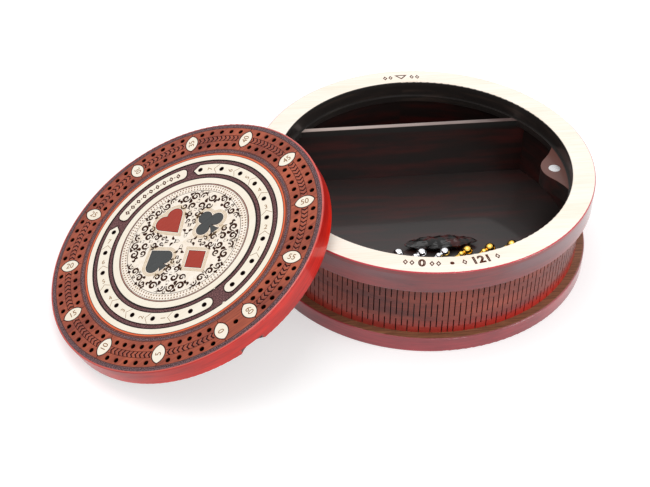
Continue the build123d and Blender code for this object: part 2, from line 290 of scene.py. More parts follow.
base = frame["nodes"]["base_disc"]
base_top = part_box("base_disc")[1].z * 1000
base_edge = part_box("base_disc")[1].x * 1000
wall_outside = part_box("kerf_wall")[1].x * 1000
red_deep = colour(96, 26, 32)
red_bright = colour(168, 50, 50)
plain_brown = colour(158, 108, 74)
plain_brown_dark = colour(92, 56, 38)
inside_dark = colour(27, 17, 15)
inside_streak = colour(62, 20, 17)


def round_the_middle(finish, place, reach):
    """Distance from the middle and height of a place, and the place unrolled at a reach."""
    x, y, z = finish.parts(place)
    radius = (x * x + y * y).maths("SQRT")
    round_it = (x * -1).maths("ARCTAN2", y * -1) * reach
    unrolled = finish.node("ShaderNodeCombineXYZ", {}, {0: round_it, 1: radius, 2: z})
    return radius, z, unrolled


def red_stain(finish, place, deep, bright):
    """Red-brown stain that soaked in unevenly, with fine dark grain along the first axis."""
    grain = finish.speckle(place, (0.05, 1, 1), 1.1)
    clouds = finish.speckle(place, (0.22, 1, 1), 0.07, 3.0)
    tone = finish.blend(deep, bright, (clouds - 0.28) * 1.8 + (grain - 0.5) * 0.8)
    return tone, grain, clouds


def dark_inside(finish, place, along, strength=1.0):
    """Nearly black stain of the inside, with soft red streaks along one axis."""
    drawn = tuple(0.12 if axis == along else 1.0 for axis in range(3))
    streak = finish.speckle(place, drawn, 0.14, 4.0)
    tone = finish.blend(inside_dark, inside_streak, streak.past(0.55, 0.16) * strength)
    return tone, streak


base_finish = Finish("base_disc", Coat_Roughness=0.08)
base_place = base_finish.place()
radius, height, unrolled = round_the_middle(base_finish, base_place, base_edge)
edge_red, _, _ = red_stain(base_finish, unrolled, colour(118, 32, 42), colour(192, 62, 70))
floor_dark, floor_streak = dark_inside(base_finish, base_place, 0, 0.7)
brown_grain = base_finish.speckle(base_place, (0.06, 1, 1), 1.1)
brown = base_finish.blend(plain_brown_dark, plain_brown, (brown_grain - 0.3) * 2.4)
on_step = height.past(base_top - 0.35, 0.12) * radius.past(wall_outside - 2, 0.1)
on_step = on_step * (1 - radius.past(base_edge - 0.7, 0.15))
on_floor = height.past(base_top - 0.35, 0.12) * (1 - radius.past(wall_outside - 2, 0.1))
base_tone = base_finish.blend(edge_red, brown, on_step)
base_finish.give("Base Color", base_finish.blend(base_tone, floor_dark, on_floor))
base_finish.give("Roughness", 0.32 + on_step * 0.25 + on_floor * 0.08 + brown_grain * 0.08)
base_finish.give("Coat Weight", 0.7 - on_step * 0.6 - on_floor * 0.35)
base_finish.relief(brown_grain * on_step + floor_streak * 0.4 * on_floor, 0.06)
wear(base, base_finish)

# ---- Kerf-bent wall ----
# One long board bent to a ring. Two staggered rows of saw kerfs in its outside let it bend, and
# its ends meet in the seam at the front. Stained red outside and nearly black inside.

wall_thickness = 5.1
wall_inside = wall_outside - wall_thickness
wall = frame["nodes"]["kerf_wall"]
wall_foot = base_top
wall_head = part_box("kerf_wall")[1].z * 1000
# The faces inside the kerfs are painted near-black: painted shade deep in the slots.
kerf_shade_black = colour(13, 5, 5)
wall_finish = Finish("kerf_wall", Coat_Roughness=0.12, Specular_IOR_Level=0.3)
wall_place = wall_finish.place()
radius, height, unrolled = round_the_middle(wall_finish, wall_place, wall_outside)
wall_brown, wall_grain, _ = red_stain(
    wall_finish, unrolled, colour(80, 38, 36), colour(168, 82, 66)
)
wall_dark, _ = dark_inside(wall_finish, unrolled, 0)
# Towards the foot the stain turns redder, and more so on the right, where the extra red is painted light
# from the lamp at the right.
near_foot = 1 - height.past(wall_foot + 6, 7)
lit_right_side = wall_finish.parts(wall_place)[0].past(20, 60)
redder = wall_finish.blend(wall_brown, colour(196, 24, 12), near_foot * (0.4 + lit_right_side * 0.5))
# Below the outer face, the kerf sides take the near-black painted shade.
kerf_shaded_tone = wall_finish.blend(kerf_shade_black, redder, radius.past(wall_outside - 0.35, 0.2))
on_outside = radius.past(wall_inside + 0.6, 0.2)
wall_finish.give("Base Color", wall_finish.blend(wall_dark, kerf_shaded_tone, on_outside))
wall_finish.give("Roughness", 0.38 + wall_grain * 0.16)
wall_finish.give("Coat Weight", 0.1 + on_outside * (0.1 + near_foot * 0.4))
wall_finish.relief(wall_grain, 0.05)
wear(wall, wall_finish)

# ---- Lipped rim ----
# A turned hoop glued over the head of the wall, lacquered red outside and dark inside. The lid
# drops into it. A pale maple ring closes it on top, with a red line left round its outer corner.

rim_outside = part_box("rim_face")[1].x * 1000
rim_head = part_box("rim_face")[1].z * 1000
rim_width = 14.5
rim_inside = rim_outside - rim_width
corner = 0.8
hoop = frame["nodes"]["rim_hoop"]
rim_face = frame["nodes"]["rim_face"]
maple_pale = colour(254, 246, 235)
maple_line = colour(242, 223, 202)
# Red stain round the maple's outer corner, painted brighter as a highlight on the polished edge.
red_corner_with_highlight = colour(190, 22, 40)
# Grey-lilac colour for a painted sheen on the red lacquer.
hoop_sheen_grey = colour(112, 74, 80)
# Dark stain of the hoop's inside, tinted grey as a painted sheen.
hoop_inside_with_sheen = colour(33, 29, 27)


def maple_wood(finish, place, along):
    """Pale maple: faint warm streaks along one axis."""
    drawn = tuple(0.04 if axis == along else 1.0 for axis in range(3))
    wavy = tuple(0.15 if axis == along else 1.0 for axis in range(3))
    fine = finish.speckle(place, drawn, 0.9)
    broad = finish.speckle(place, wavy, 0.07, 2.0)
    share = (fine - 0.5) * 1.5 + (broad - 0.45) * 1.2 + 0.3
    return finish.blend(maple_pale, maple_line, share), fine


hoop_finish = Finish("rim_hoop", Coat_Roughness=0.06)
hoop_place = hoop_finish.place()
hoop_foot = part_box("rim_hoop")[0].z * 1000
radius, height, unrolled = round_the_middle(hoop_finish, hoop_place, rim_outside)
hoop_red, hoop_grain, hoop_clouds = red_stain(hoop_finish, unrolled, red_deep, red_bright)
# Pale grey patches over the upper hoop are a painted sheen, standing in for the white room reflected in
# the lacquer.
hoop_sheen_patches = hoop_finish.speckle(unrolled, (0.3, 1, 1), 0.05, 2.0).past(0.5, 0.12)
hoop_red = hoop_finish.blend(hoop_red, hoop_sheen_grey, hoop_sheen_patches * height.past(hoop_foot + 6, 5) * 0.75)
# Paler grey-brown streaks inside the hoop are painted sheen on the dark stain.
hoop_sheen_streak = hoop_finish.speckle(unrolled, (0.1, 1, 1), 0.2)
hoop_dark_with_sheen = hoop_finish.blend(hoop_inside_with_sheen, colour(62, 50, 44), hoop_sheen_streak.past(0.62, 0.15))
on_outside = radius.past(wall_outside - 2, 1.0)
hoop_finish.give("Base Color", hoop_finish.blend(hoop_dark_with_sheen, hoop_red, on_outside))
hoop_finish.give("Roughness", 0.3 + hoop_clouds * 0.1)
hoop_finish.give("Coat Weight", 0.25 + on_outside * 0.55)
hoop_finish.relief(hoop_grain, 0.02)
wear(hoop, hoop_finish)

face_finish = Finish("rim_face", Coat_Roughness=0.15)
face_place = face_finish.place()
radius, height, unrolled = round_the_middle(face_finish, face_place, rim_outside)
face_maple, face_fine = maple_wood(face_finish, face_place, 0)
face_red, _, _ = red_stain(face_finish, unrolled, red_deep, red_bright)
on_line = radius.past(rim_outside - corner * 0.75, 0.08)
on_side = 1 - height.past(rim_head - corner, 0.15)
on_inside = 1 - radius.past(rim_inside + corner * 0.35, 0.1)
# The rounded outer corner is the red stain with a painted highlight; the side below is the plain red
# stain.
outer_tone = face_finish.blend(red_corner_with_highlight, face_red, on_side)
face_tone = face_finish.blend(face_maple, outer_tone, on_line)
# The inner corner of the maple takes the hoop's dark stain with its painted grey sheen.
face_finish.give("Base Color", face_finish.blend(face_tone, hoop_inside_with_sheen, on_inside))
face_finish.give("Roughness", 0.42 - on_line * 0.1 + face_fine * 0.08)
face_finish.give("Coat Weight", 0.1 + on_line * 0.6)
face_finish.relief(face_fine, 0.02)
wear(rim_face, face_finish)

# ---- Burnt marks on the rim ----
# The rim carries the plain numbers of a game's two ends, either side of a dot at the front, and
# an arrow head at the back. They are burnt into the maple: a dark line round a pale figure.

mark_from_edge = 8.2
mark_radius = rim_outside - mark_from_edge
mark_size = 8.4
mark_line = 0.75
mark_spread = 10.1
burn_proud = 0.00004
front_dot_radius = 1.3


def burnt(name, deep, pale_end):
    """A burn in maple: brown where the iron dwelt, paler where it passed."""
    finish = Finish(name, Roughness=0.8, Specular_IOR_Level=0.1)
    patch = finish.speckle(finish.place(), (1, 1, 1), 1.8)
    finish.give("Base Color", finish.blend(deep, pale_end, patch.past(0.55, 0.2)))
    finish.relief(patch, 0.03)
    return finish


rim_burn = burnt("rim_burn", colour(62, 26, 14), colour(104, 56, 34))


def flat_shape(name, outlines, thickness):
    """A flat piece from closed outlines in millimetres, with holes where they nest."""
    drawing = bpy.data.curves.new(name, "CURVE")
    drawing.dimensions = "2D"
    drawing.fill_mode = "BOTH"
    drawing.extrude = thickness / 2
    for outline in outlines:
        line = drawing.splines.new("POLY")
        line.points.add(len(outline) - 1)
        for point, (x, y) in zip(line.points, outline):
            point.co = (x / 1000, y / 1000, 0, 1)
        line.use_cyclic_u = True
    piece = bpy.data.objects.new(name, drawing)
    bpy.context.scene.collection.objects.link(piece)
    return made_solid(piece)


def made_solid(piece):
    """Turns a flat drawing or a text into a closed mesh, its faces outwards."""
    choose(piece)
    bpy.ops.object.convert(target="MESH")
    bpy.ops.object.mode_set(mode="EDIT")
    bpy.ops.mesh.select_all(action="SELECT")
    bpy.ops.mesh.remove_doubles(threshold=0.000002)
    bpy.ops.mesh.normals_make_consistent(inside=False)
    bpy.ops.object.mode_set(mode="OBJECT")
    return piece


def outlined_number(name, text, size, line):
    """A number drawn as an outline, its middle at the origin."""
    bpy.ops.object.text_add()
    figure = bpy.context.object
    figure.name = name
    figure.data.body = text
    figure.data.size = size / 1000
    figure.data.align_x = "CENTER"
    figure.data.align_y = "CENTER"
    figure.data.fill_mode = "NONE"
    figure.data.bevel_depth = line / 2000
    figure.data.bevel_resolution = 1
    made_solid(figure)
    choose(figure)
    bpy.ops.object.mode_set(mode="EDIT")
    bpy.ops.mesh.select_all(action="SELECT")
    bpy.ops.transform.resize(value=(1, 1, 2 * burn_proud / (line / 1000)))
    bpy.ops.object.mode_set(mode="OBJECT")
    return figure


def lay_on_rim(piece, angle, inward):
    """Turns a flat piece to its clock angle on the rim, its head towards the well or out."""
    middle = Matrix.Translation((0, mark_radius / 1000, rim_head / 1000))
    stand = Matrix.Rotation(math.pi if inward else 0, 4, "Z")
    piece.data.transform(Matrix.Rotation(-math.radians(angle), 4, "Z") @ middle @ stand)
    wear(piece, rim_burn)
    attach(piece, "box")


def round_dot(radius, points=20):
    steps = [math.tau * n / points for n in range(points)]
    return [(radius * math.cos(a), radius * math.sin(a)) for a in steps]


def framed_lozenges(name, places):
    """A row of burnt lozenges, each with a pale middle, that follows the rim."""
    outlines = []
    for place in places:
        rise = place * place / (2 * mark_radius)
        for half_width, half_height in ((1.5, 2.4), (0.7, 1.15)):
            corners = [(-half_width, 0), (0, half_height), (half_width, 0), (0, -half_height)]
            outlines.append([(x + place, y + rise) for x, y in corners])
    return flat_shape(name, outlines, 2 * burn_proud)


start_number = outlined_number("start_number", "0", mark_size, mark_line)
finish_number = outlined_number("finish_number", "121", mark_size, mark_line)
lay_on_rim(start_number, 180 + mark_spread, True)
lay_on_rim(finish_number, 180 - mark_spread, True)
lay_on_rim(framed_lozenges("start_lozenges", (-9.6, -5.8, 5.8, 9.6)), 180 + mark_spread, True)
lay_on_rim(framed_lozenges("finish_lozenges", (-10.2, 10.2)), 180 - mark_spread, True)
lay_on_rim(flat_shape("front_dot", [round_dot(front_dot_radius)], 2 * burn_proud), 180, True)
arrow = [[(-4.4, -2.5), (0, 2.7), (4.4, -2.5)], [(-2.6, -1.6), (0, 1.3), (2.6, -1.6)]]
lay_on_rim(flat_shape("rear_arrow", arrow, 2 * burn_proud), 0, True)
lay_on_rim(framed_lozenges("rear_lozenges", (-11.2, -7.4, 7.4, 11.2)), 0, True)

# ---- Divider ----
# A plain board across the back of the well, its ends fitted to the wall. Its top is painted as a
# highlight along the lit arris, brighter to the left, with a painted grey sheen on the face below.

divider = frame["nodes"]["divider"]
divider_finish = Finish("divider", Coat_Roughness=0.12, Coat_Weight=0.35)
divider_place = divider_finish.place()
x, y, height = divider_finish.parts(divider_place)
board_dark, board_streak = dark_inside(divider_finish, divider_place, 0)
# The top face is painted pale grey, a painted highlight, in patches and brighter towards the left.
lit_top = height.past(wall_head - 0.25, 0.12)
highlight_patches = divider_finish.speckle(divider_place, (0.15, 1, 1), 0.2, 3.0)
highlight_share = (x * -1).past(-10, 60) * 0.75 + (highlight_patches - 0.5) * 0.8 + 0.12
top_highlight = divider_finish.blend(colour(74, 54, 52), colour(178, 160, 152), highlight_share)
# A band of the face below the top is tinted grey: a painted sheen.
sheen_below_top = height.past(wall_head - 4.5, 1.0) * (1 - lit_top)
board_dark = divider_finish.blend(board_dark, colour(30, 33, 32), sheen_below_top * 0.8)
divider_tone = divider_finish.blend(board_dark, top_highlight, lit_top)
divider_finish.give("Base Color", divider_tone)
divider_finish.give("Roughness", 0.34 + board_streak * 0.15)
divider_finish.relief(board_streak, 0.04)
wear(divider, divider_finish)

# ---- Lugs and their magnets ----
# Two bell-shaped blocks glued to the wall at the ends of the tilt axis. Each holds a round
# nickel-plated magnet, flush in its top, that grips the lid's own.

lug_finish = Finish("lugs", Coat_Roughness=0.15, Coat_Weight=0.25)
lug_place = lug_finish.place()
x, y, height = lug_finish.parts(lug_place)
lug_dark, lug_streak = dark_inside(lug_finish, lug_place, 1)
lug_top = height.past(wall_head - 0.3, 0.12)
lug_brown = lug_finish.blend(colour(80, 44, 36), colour(112, 66, 56), lug_streak)
lug_finish.give("Base Color", lug_finish.blend(lug_dark, lug_brown, lug_top))
lug_finish.give("Roughness", 0.4 + lug_streak * 0.15)
lug_finish.relief(lug_streak, 0.04)
magnet_finish = Finish("nickel_magnet", Metallic=1.0)
magnet_mist = magnet_finish.speckle(magnet_finish.place(), (1, 1, 1), 0.8)
nickel = magnet_finish.blend(colour(214, 214, 216), colour(240, 240, 242), magnet_mist)
magnet_finish.give("Base Color", nickel)
magnet_finish.give("Roughness", 0.22 + magnet_mist * 0.12)
magnet_finish.relief(magnet_mist, 0.01)
for side in ("left", "right"):
    wear(frame["nodes"][side + "_lug"], lug_finish)
    wear(frame["nodes"][side + "_lug_magnet"], magnet_finish)

# ---- Lid board ----
# A round board with two rings of peg holes. Bands beside the track and under the games tracks
# are cut a little deeper and stippled dark. The rest is red-brown stain under gloss lacquer.

finish_hole = next(m for m in frame["record"]["mounts"] if m["name"] == "finish_peg_hole")
lid_out = Vector(finish_hole["axis"])
lid_own_turn = math.radians(1.5)
level_twelve = Vector((lid_out.y, -lid_out.x, 0)).normalized()
to_twelve = Matrix.Rotation(lid_own_turn, 3, lid_out) @ level_twelve
to_three = to_twelve.cross(lid_out)
half_hole = 0.004
track_radius = 80.0
lid_top = Vector(finish_hole["pos_m"]) + lid_out * half_hole + to_twelve * track_radius / 1000
lid_seat = Matrix.Translation(lid_top) @ Matrix((to_three, to_twelve, lid_out)).transposed().to_4x4()
lid_turn = tuple(lid_seat.to_euler())
lid_board = frame["nodes"]["lid_board"]
lid_edge = 92.0
stipple_dark = colour(48, 26, 30)
stipple_pale = colour(142, 108, 112)
field_dark = colour(70, 36, 38)
field_pale = colour(146, 100, 100)
line_black = colour(28, 12, 12)
# Near-black for the inside of the peg holes: painted shade.
track_brown = colour(112, 42, 28)
track_orange = colour(184, 90, 60)
hole_shade_black = colour(14, 9, 9)
edge_stipple = (88.5, 90.9)
track_stipple = (68.6, 70.6)
field_reach = (48.4, 62.5)
orange_reach = (66.5, 67.6)
dark_red_lines = ((88.3, 0.5), (71.0, 0.5), (68.0, 0.6))
black_lines = ((66.3, 0.4), (62.2, 0.9), (48.8, 0.9))
# Where and how wide the pale pink ring along the lid's top corner lies: a painted highlight.
corner_highlight, corner_highlight_width = 91.3, 0.8
red_side_from = 91.15

lid_finish = Finish("lid_board", Coat_Roughness=0.1, Specular_IOR_Level=0.3)
lid_place = lid_finish.place(tuple(lid_top), lid_turn)
radius, height, unrolled = round_the_middle(lid_finish, lid_place, lid_edge)
lid_red, _, _ = red_stain(
    lid_finish, unrolled, colour(150, 6, 2), colour(236, 34, 8)
)
track_grain = lid_finish.speckle(lid_place, (0.06, 1, 1), 0.9)
track_clouds = lid_finish.speckle(lid_place, (0.3, 1, 1), 0.06, 3.0)
track_share = (track_grain - 0.5) * 1.8 + (track_clouds - 0.5) * 2.0 + 0.5
track_tone = lid_finish.blend(track_brown, track_orange, track_share)
stipple = lid_finish.speckle(lid_place, (1, 1, 0.2), 1.5, 3.0, 0.8)
edge_band = lid_finish.blend(stipple_dark, stipple_pale, stipple.past(0.52, 0.1))
field_band = lid_finish.blend(field_dark, field_pale, stipple.past(0.55, 0.1))


def ring_line(tone, middle, width, shade, strength=1.0):
    """A thin ring of another colour on the lid."""
    share = radius.between(middle - width / 2, middle + width / 2, 0.08) * strength
    return lid_finish.blend(tone, shade, share)


stippled_rings = radius.between(*edge_stipple, 0.05) + radius.between(*track_stipple, 0.05)
games_field = radius.between(*field_reach, 0.05)
lid_tone = lid_finish.blend(track_tone, edge_band, stippled_rings)
lid_tone = lid_finish.blend(lid_tone, field_band, games_field)
orange_share = radius.between(*orange_reach, 0.12) * 0.85
lid_tone = lid_finish.blend(lid_tone, colour(226, 96, 46), orange_share)
for middle, width in dark_red_lines:
    lid_tone = ring_line(lid_tone, middle, width, colour(52, 14, 14), 0.9)
for middle, width in black_lines:
    lid_tone = ring_line(lid_tone, middle, width, line_black)
lid_tone = lid_finish.blend(lid_tone, lid_red, radius.past(red_side_from, 0.08))
# The pale pink ring on the rounded top corner is a painted highlight on the red lacquer.
corner_highlight_share = 0.9 * height.past(-0.6, 0.2)
lid_tone = ring_line(lid_tone, corner_highlight, corner_highlight_width, colour(206, 88, 78), corner_highlight_share)
# Below the top, the peg holes are painted near-black: painted shade inside the holes.
hole_shade = (1 - height.past(-0.55, 0.12)) * (1 - radius.past(lid_edge - 1.5, 0.1))
above_foot = height.past(-10.5, 0.3)
lid_tone = lid_finish.blend(lid_tone, hole_shade_black, hole_shade * above_foot)
lid_finish.give("Base Color", lid_tone)
stippled = stippled_rings + games_field
lid_finish.give("Roughness", 0.36 + stippled * 0.3 + track_grain * 0.1)
lid_finish.give("Coat Weight", 0.1 + radius.past(red_side_from - 0.05, 0.1) * 0.4)
lid_finish.relief(stipple * stippled * 2 + track_grain * 0.4, 0.08)
wear(lid_board, lid_finish)


def lay_on_lid(piece, finish):
    """Lays a flat piece, made on the bench, on the top of the lid."""
    piece.data.transform(lid_seat)
    wear(piece, finish)
    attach(piece, "lid")


def clock_place(radius, angle):
    """A point on the lid in millimetres, its angle clockwise from twelve o'clock."""
    return radius * math.sin(math.radians(angle)), radius * math.cos(math.radians(angle))


def round_the_lid(piece, angles, distance=0.0):
    """Copies a piece to each clock angle, its head outwards, and joins the copies."""
    copies = []
    for angle in angles:
        copy = piece.copy()
        copy.data = piece.data.copy()
        bpy.context.scene.collection.objects.link(copy)
        out = Matrix.Translation((0, distance / 1000, 0))
        copy.data.transform(Matrix.Rotation(-math.radians(angle), 4, "Z") @ out)
        copies.append(copy)
    name = piece.name
    bpy.data.objects.remove(piece)
    choose(*copies)
    bpy.ops.object.join()
    copies[0].name = name
    return copies[0]


# ---- Engraved braid ----
# Between the two rows of holes runs a plain braid, broken by each number plate. Bold dark
# chevrons point round the track between two fine lines, each with a pale one cut beside it.

plate_count = 13
hole_pitch_angle = 4.807
plate_pitch = 6 * hole_pitch_angle
first_plate = 180 + (360 - (plate_count - 1) * plate_pitch) / 2
braid_clear_angle = 3.4
chevron_pitch_angle = 2.2
engraved_dark = burnt("engraved_dark", colour(34, 10, 12), colour(64, 22, 22))

plate_angles = [first_plate + plate_pitch * n for n in range(plate_count)]
chevron = [(-1.5, 1.9), (-0.5, 1.9), (0.9, 0), (-0.5, -1.9), (-1.5, -1.9), (-0.2, 0)]
pale_chevron = [(-0.3, 1.7), (0.0, 1.7), (1.5, 0), (0.0, -1.7), (-0.3, -1.7), (1.15, 0)]
braid_angles = []
for angle in plate_angles[:-1]:
    run = plate_pitch - 2 * braid_clear_angle
    count = round(run / chevron_pitch_angle)
    braid_angles += [angle + braid_clear_angle + run * (n + 0.5) / count for n in range(count)]
braid = round_the_lid(flat_shape("braid", [chevron], 2 * burn_proud), braid_angles, track_radius)
lay_on_lid(braid, engraved_dark)
pale_row = flat_shape("pale_braid", [pale_chevron], 2 * burn_proud)
pale_braid = round_the_lid(pale_row, braid_angles, track_radius)
lay_on_lid(pale_braid, burnt("pale_cut", colour(150, 92, 84), colour(190, 128, 112)))


def arc_strip(middle, width, first, last, points=24):
    """The outline of a narrow arched strip between two clock angles."""
    angles = [first + (last - first) * n / points for n in range(points + 1)]
    outer = [clock_place(middle + width / 2, a) for a in angles]
    inner = [clock_place(middle - width / 2, a) for a in reversed(angles)]
    return outer + inner


half_run = plate_pitch / 2 - braid_clear_angle
braid_half_width = 2.05
for name, side in (("outer_braid_line", 1), ("inner_braid_line", -1)):
    line_radius = track_radius + side * braid_half_width
    strip = flat_shape(name, [arc_strip(line_radius, 0.25, -half_run, half_run)], 2 * burn_proud)
    lines = round_the_lid(strip, [a + plate_pitch / 2 for a in plate_angles[:-1]])
    lay_on_lid(lines, engraved_dark)

# ---- Number plates ----
# Thirteen pointed maple lenses let into the track, one before every fifth pair of holes. Each
# has a burnt line round it, a short cut from either tip, and its plain number.

plate_length = 12.5
plate_reach = 88.4
plate_number_size = 5.4
inlay_maple = Finish("inlay_maple", Coat_Roughness=0.2, Coat_Weight=0.1)
inlay_place = inlay_maple.place(tuple(lid_top), lid_turn)
inlay_tone, inlay_fine = maple_wood(inlay_maple, inlay_place, 0)
x, y, height = inlay_maple.parts(inlay_place)
inlay_tone = inlay_maple.blend(inlay_tone, colour(236, 229, 204), 0.4)
# The holes in the inlays are painted near-black below the top too: painted shade.
inlay_tone = inlay_maple.blend(hole_shade_black, inlay_tone, height.past(-0.3, 0.1))
inlay_maple.give("Base Color", inlay_tone)
inlay_maple.give("Roughness", 0.42 + inlay_fine * 0.1)
inlay_maple.relief(inlay_fine, 0.02)
for name in ("number_plates", "games_label_plate", "left_games_track", "right_games_track",
             "outer_maple_ring", "inner_maple_ring"):
    wear(frame["nodes"][name], inlay_maple)


def top_edges(node):
    """The outlines of an inlay's top, as rows of points in millimetres on the bench."""
    mesh = frame["nodes"][node].data
    on_bench = lid_seat.inverted()
    spots = [on_bench @ vertex.co for vertex in mesh.vertices]
    uses = {}
    for face in mesh.polygons:
        corners = [spots[number] for number in face.vertices]
        if min(corner.z for corner in corners) < -0.0001:
            continue
        keys = [(round(c.x * 1e6), round(c.y * 1e6)) for c in corners]
        for start, end in zip(keys, keys[1:] + keys[:1]):
            uses.setdefault(frozenset((start, end)), []).append((start, end))
    follows = {}
    for directions in uses.values():
        if len(directions) == 1 and directions[0][0] != directions[0][1]:
            follows[directions[0][0]] = directions[0][1]
    loops = []
    while follows:
        start, spot = follows.popitem()
        loop = [start]
        while spot != start and spot in follows:
            loop.append(spot)
            spot = follows.pop(spot)
        loops.append([(x / 1000, y / 1000) for x, y in loop])
    return loops


def span_distance(spot, start, end):
    """How far a spot lies from a straight stretch."""
    run = end - start
    share = max(0.0, min(1.0, (spot - start).dot(run) / max(run.length_squared, 1e-12)))
    return (spot - start - run * share).length


def outset(loop, distance):
    """An outline moved outwards, without the knots that its hollow corners would make."""
    moved = []
    for before, here, after in zip(loop[-1:] + loop[:-1], loop, loop[1:] + loop[:1]):
        into = Vector((here[0] - before[0], here[1] - before[1])).normalized()
        away = Vector((after[0] - here[0], after[1] - here[1])).normalized()
        side = Vector((into.y + away.y, -into.x - away.x))
        side = side / max(side.length_squared / 2, 0.35)
        moved.append((here[0] + side.x * distance, here[1] + side.y * distance))
    spots = [Vector(spot) for spot in loop]
    spans = list(zip(spots, spots[1:] + spots[:1]))
    least = abs(distance) * 0.97
    return [m for m in moved if min(span_distance(Vector(m), a, b) for a, b in spans) >= least]


def line_round(name, node, distance, width):
    """A burnt line that follows the top edges of an inlay at a distance."""
    outlines = []
    for loop in top_edges(node):
        if len(loop) > 2:
            outlines.append(outset(loop, distance + width / 2))
            outlines.append(outset(loop, distance - width / 2))
    return flat_shape(name, outlines, 2 * burn_proud)


lay_on_lid(line_round("plate_lines", "number_plates", 0.15, 0.6), engraved_dark)
tip_half_width = 0.16
tip_foot = plate_length / 2
tip_head = plate_reach - track_radius
tip_cut = [(-tip_half_width, tip_foot), (-tip_half_width, tip_head), (tip_half_width, tip_head),
           (tip_half_width, tip_foot)]
back_cut = [(x, -y) for x, y in reversed(tip_cut)]
both_tips = flat_shape("plate_tip_cuts", [tip_cut, back_cut], 2 * burn_proud)
tips = round_the_lid(both_tips, plate_angles, track_radius)
lay_on_lid(tips, engraved_dark)
number_tan = burnt("number_tan", colour(122, 76, 38), colour(172, 124, 74))


def solid_number(name, text, size):
    """A plain number cut as a solid figure, its middle at the origin."""
    bpy.ops.object.text_add()
    figure = bpy.context.object
    figure.name = name
    figure.data.body = text
    figure.data.size = size / 1000
    figure.data.align_x = "CENTER"
    figure.data.align_y = "CENTER"
    figure.data.extrude = burn_proud
    return made_solid(figure)


plate_numbers = []
for number, angle in enumerate(plate_angles):
    figure = solid_number("plate_number_" + str(5 * number), str(5 * number), plate_number_size)
    quarter = math.radians(90) if angle - 180 <= 180 else math.radians(-90)
    out = Matrix.Translation((0, track_radius / 1000, 0))
    turned = Matrix.Rotation(-math.radians(angle), 4, "Z") @ out @ Matrix.Rotation(-quarter, 4, "Z")
    figure.data.transform(turned)
    plate_numbers.append(figure)
choose(*plate_numbers)
bpy.ops.object.join()
plate_numbers[0].name = "plate_numbers"
lay_on_lid(plate_numbers[0], number_tan)

# ---- Games tracks and label plate ----
# Two arched maple strips count the games won, seven holes each and three for waiting pegs, with
# a chevron cut before each hole. The arched plate between their heads has a row of lozenges.

games_radius = 55.4
games_first = 37.0
games_pitch = 16.25
games_count = 7
number_after_hole = 7.5
chevron_after_hole = 11.5
game_number_size = 4.6
label_pitch_angle = 5.2
label_lozenges = 9
games_lines = burnt("games_lines", colour(132, 92, 58), colour(176, 138, 96))
black_line = burnt("black_line", line_black, colour(60, 34, 30))
for node in ("left_games_track", "right_games_track", "games_label_plate"):
    lay_on_lid(line_round(node + "_line", node, 0.3, 0.6), black_line)

chevron_cut = [(-3.5, -1.6), (0, 1.2), (3.5, -1.6), (3.5, -1.95), (0, 0.85), (-3.5, -1.95)]
games_marks = []
for side in (-1, 1):
    for number in range(games_count):
        hole = games_first + games_pitch * number
        game = games_count - number
        lead = Matrix.Rotation(math.pi / 2 * side, 4, "Z")
        figure = solid_number("game_" + str(game), str(game), game_number_size)
        x, y = clock_place(games_radius, side * (hole + number_after_hole))
        turned = Matrix.Rotation(-math.radians(side * (hole + number_after_hole)), 4, "Z")
        figure.data.transform(Matrix.Translation((x / 1000, y / 1000, 0)) @ turned @ lead)
        games_marks.append(figure)
        cut = flat_shape("games_chevron", [chevron_cut], 2 * burn_proud)
        x, y = clock_place(games_radius, side * (hole + chevron_after_hole))
        turned = Matrix.Rotation(-math.radians(side * (hole + chevron_after_hole)), 4, "Z")
        cut.data.transform(Matrix.Translation((x / 1000, y / 1000, 0)) @ turned @ lead)
        games_marks.append(cut)
choose(*games_marks)
bpy.ops.object.join()
games_marks[0].name = "games_marks"
lay_on_lid(games_marks[0], games_lines)

lozenge = [(-1.5, 0), (0, 2.1), (1.5, 0), (0, -2.1)]
small_lozenge = [(-0.6, 0), (0, 0.9), (0.6, 0), (0, -0.9)]
last_place = (label_lozenges - 1) / 2
lozenge_angles = [label_pitch_angle * (n - last_place) for n in range(label_lozenges)]
dot_angles = [angle + label_pitch_angle / 2 for angle in lozenge_angles[:-1]]
lozenges = flat_shape("label_lozenges", [lozenge, small_lozenge], 2 * burn_proud)
row = round_the_lid(lozenges, lozenge_angles, games_radius)
lay_on_lid(row, rim_burn)
one_dot = flat_shape("label_dots", [round_dot(0.45, 12)], 2 * burn_proud)
dots = round_the_lid(one_dot, dot_angles, games_radius)
lay_on_lid(dots, rim_burn)

# ---- Rings ----
# Two plain maple rings frame the games tracks. A black knife line runs along both edges of each,
# and a small point at six o'clock stands out from each towards the other.

for node in ("outer_maple_ring", "inner_maple_ring"):
    lay_on_lid(line_round(node + "_line", node, 0.15, 0.3), black_line)
inner_point = [(-1.4, -48.1), (1.4, -48.1), (0, -49.1)]
outer_point = [(-1.4, -62.7), (0, -61.7), (1.4, -62.7)]
lay_on_lid(flat_shape("ring_points", [inner_point, outer_point], 2 * burn_proud), inlay_maple)

# ---- Filigree ----
# The middle of the lid is a maple disc with scrolls burnt into it: two rings of dashes, then
# scrolls in mirrored pairs round the four suits, and a rosette of leaves in the middle.

